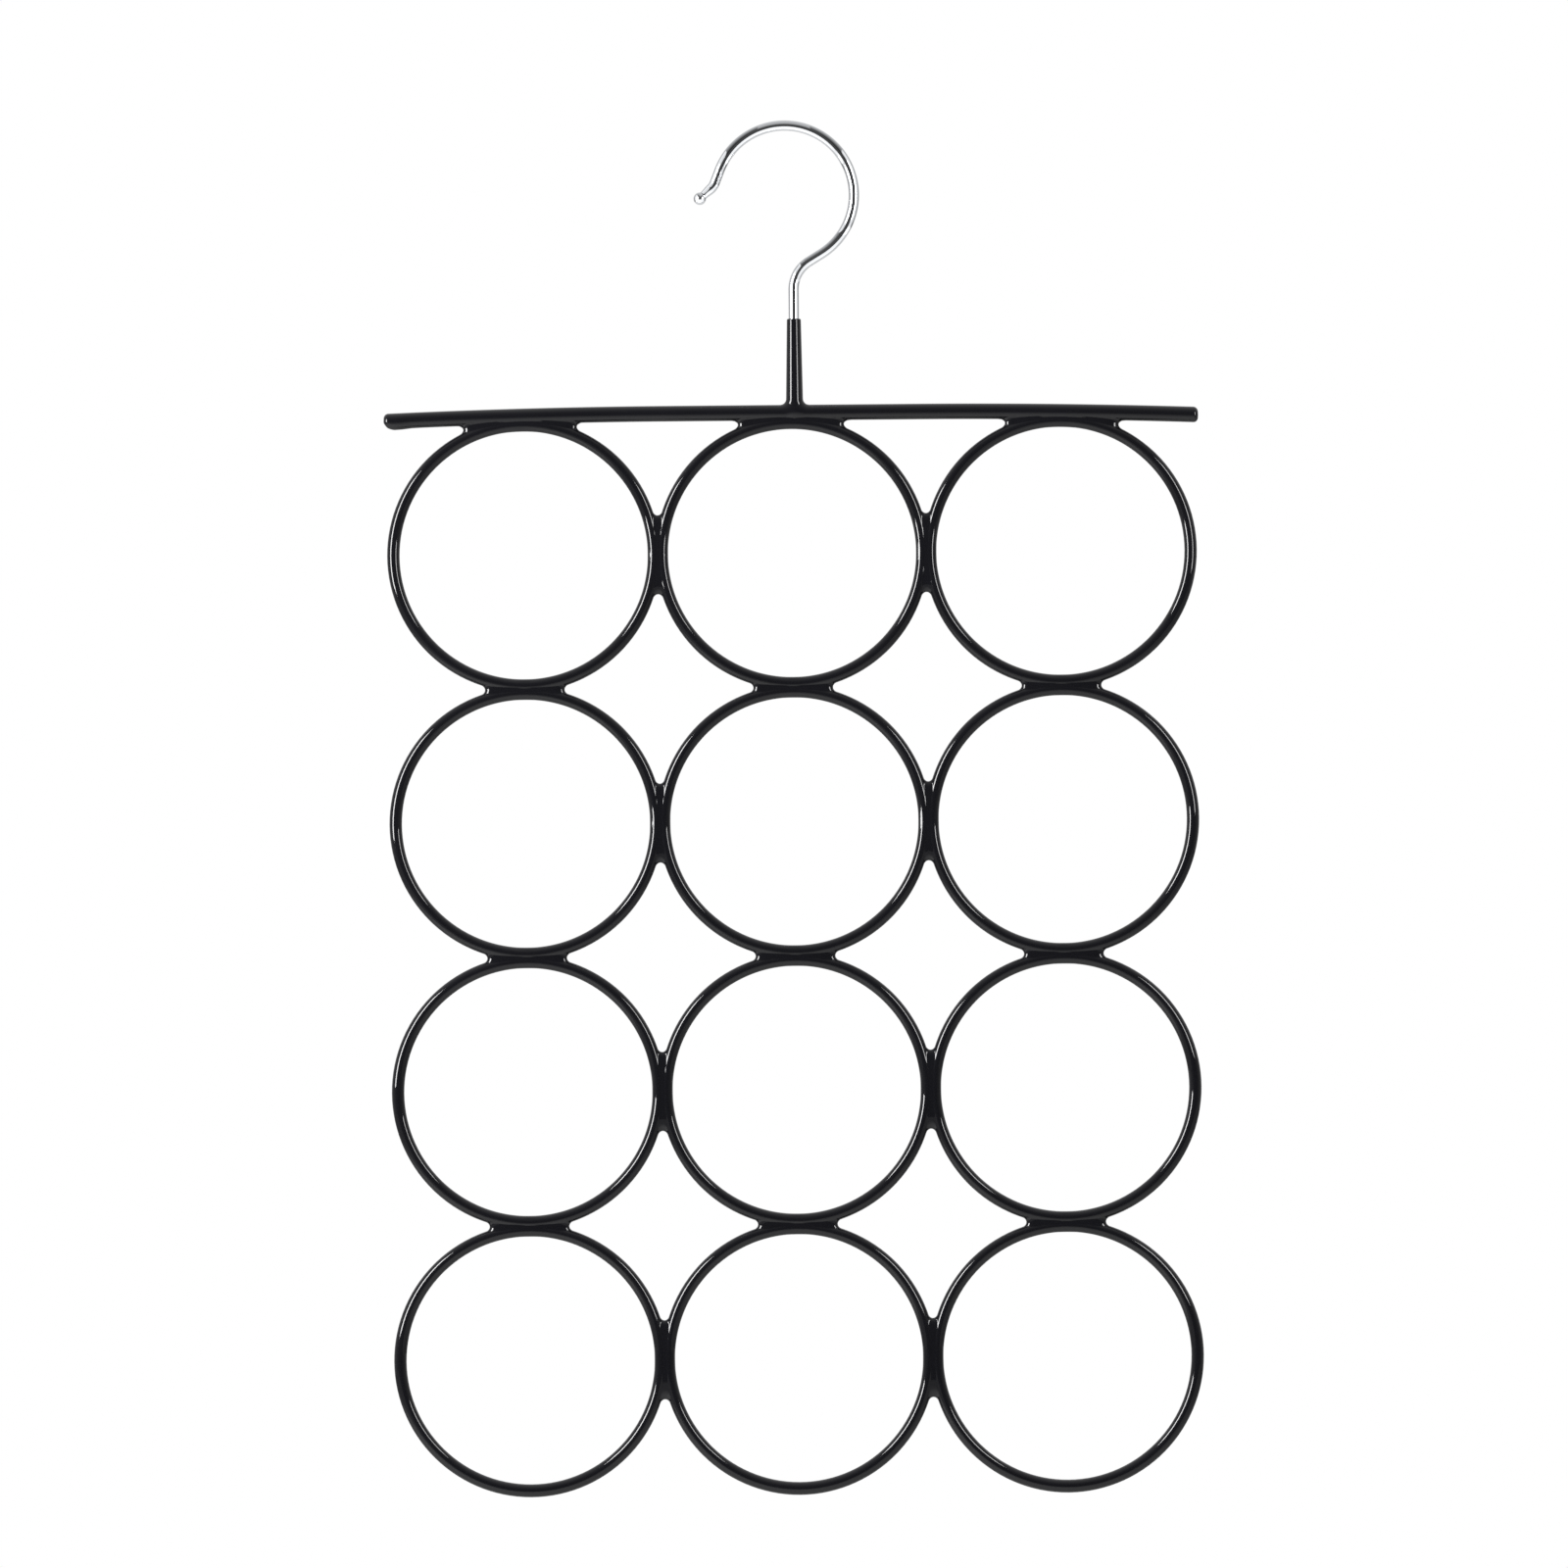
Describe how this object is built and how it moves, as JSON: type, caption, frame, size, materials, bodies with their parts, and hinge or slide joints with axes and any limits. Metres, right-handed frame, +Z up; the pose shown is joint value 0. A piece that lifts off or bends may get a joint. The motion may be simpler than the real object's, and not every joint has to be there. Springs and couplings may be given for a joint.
{
  "type": "scarf hanger",
  "caption": "Flat hanger for scarves and ties: a grid of welded wire rings in a black soft plastic skin, under a straight top bar with a chromed wire hook.",
  "frame": {"origin": "the place on the inside of the hook's crook, at its top, that rests on the rail, in the middle plane of the wire", "axes": "+X along the top bar, towards the viewer's right with the hook's mouth on the left; +Z up; the rings stand in the XZ plane and the front faces -Y"},
  "size_m": [0.2596, 0.0054, 0.4383],
  "materials": {
    "chromed_wire": "bright chrome plate",
    "steel_wire": "drawn bright wire, under the plastic",
    "black_pvc": "glossy dip-coated soft PVC"
  },
  "bodies": {
    "root": {"hook": "chromed_wire", "top_bar_wire": "steel_wire", "bar_coat": "black_pvc", "shank_sleeve": "black_pvc", "ring_wire_r1_c1": "steel_wire", "ring_wire_r1_c2": "steel_wire", "ring_wire_r1_c3": "steel_wire", "ring_wire_r2_c1": "steel_wire", "ring_wire_r2_c2": "steel_wire", "ring_wire_r2_c3": "steel_wire", "ring_wire_r3_c1": "steel_wire", "ring_wire_r3_c2": "steel_wire", "ring_wire_r3_c3": "steel_wire", "ring_wire_r4_c1": "steel_wire", "ring_wire_r4_c2": "steel_wire", "ring_wire_r4_c3": "steel_wire", "ring_coat_r1_c1": "black_pvc", "ring_coat_r1_c2": "black_pvc", "ring_coat_r1_c3": "black_pvc", "ring_coat_r2_c1": "black_pvc", "ring_coat_r2_c2": "black_pvc", "ring_coat_r2_c3": "black_pvc", "ring_coat_r3_c1": "black_pvc", "ring_coat_r3_c2": "black_pvc", "ring_coat_r3_c3": "black_pvc", "ring_coat_r4_c1": "black_pvc", "ring_coat_r4_c2": "black_pvc", "ring_coat_r4_c3": "black_pvc"}
  },
  "joints": []
}
